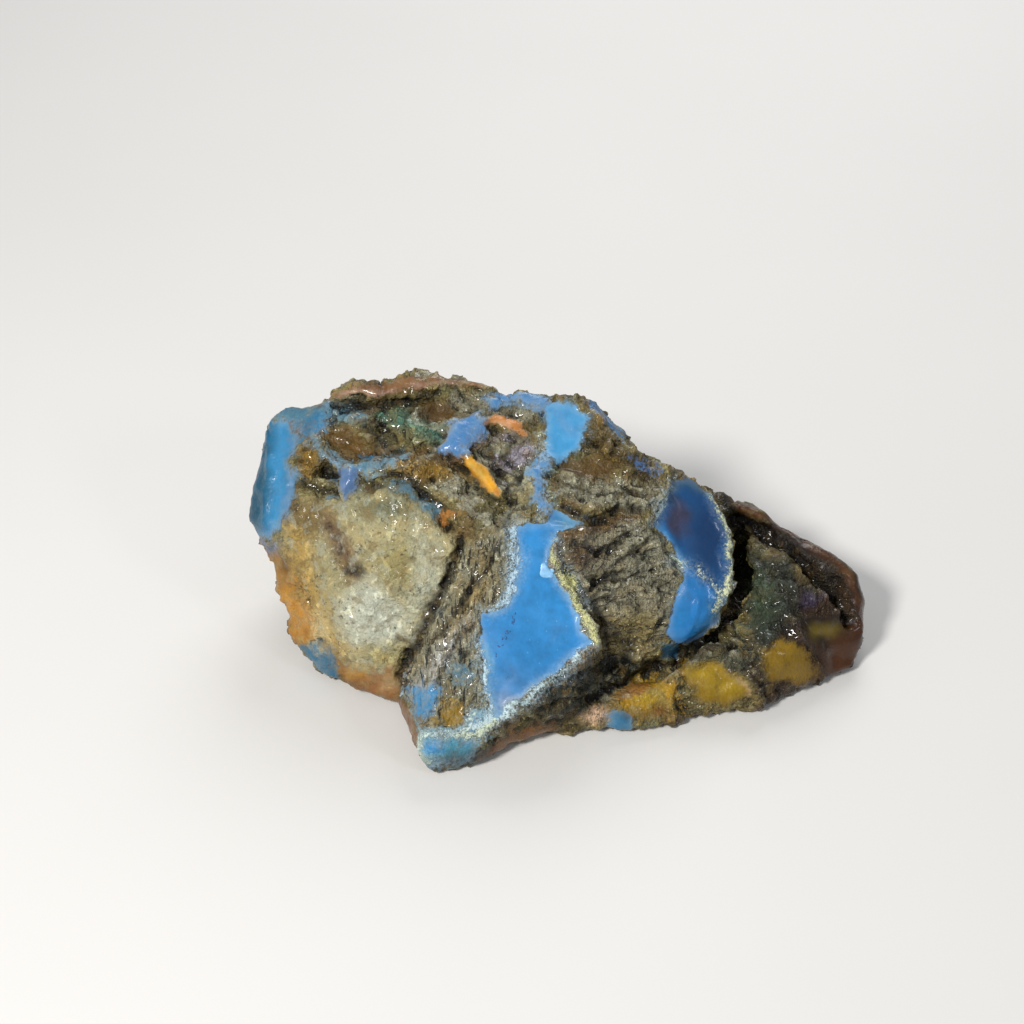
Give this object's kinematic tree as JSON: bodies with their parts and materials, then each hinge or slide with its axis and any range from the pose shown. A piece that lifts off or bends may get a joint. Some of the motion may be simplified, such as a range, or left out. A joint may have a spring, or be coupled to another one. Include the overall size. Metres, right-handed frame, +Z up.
{
  "type": "rough blue amber lump",
  "caption": "Craggy lump of amber in a weathered rind, with glassy windows, a pointed nose and a low tail behind a cleft; it rests on a worn flat underside.",
  "frame": {"origin": "on the resting plane, under the middle of the lump's box", "axes": "+X along the lump from the glassy rim to the tail, +Y away from the nose, +Z up from the resting face"},
  "size_m": [0.0666, 0.0382, 0.026],
  "materials": {
    "weathered_amber": "damp, semi-gloss rind with glassy windows"
  },
  "bodies": {
    "root": {"amber_specimen": "weathered_amber"}
  },
  "joints": []
}
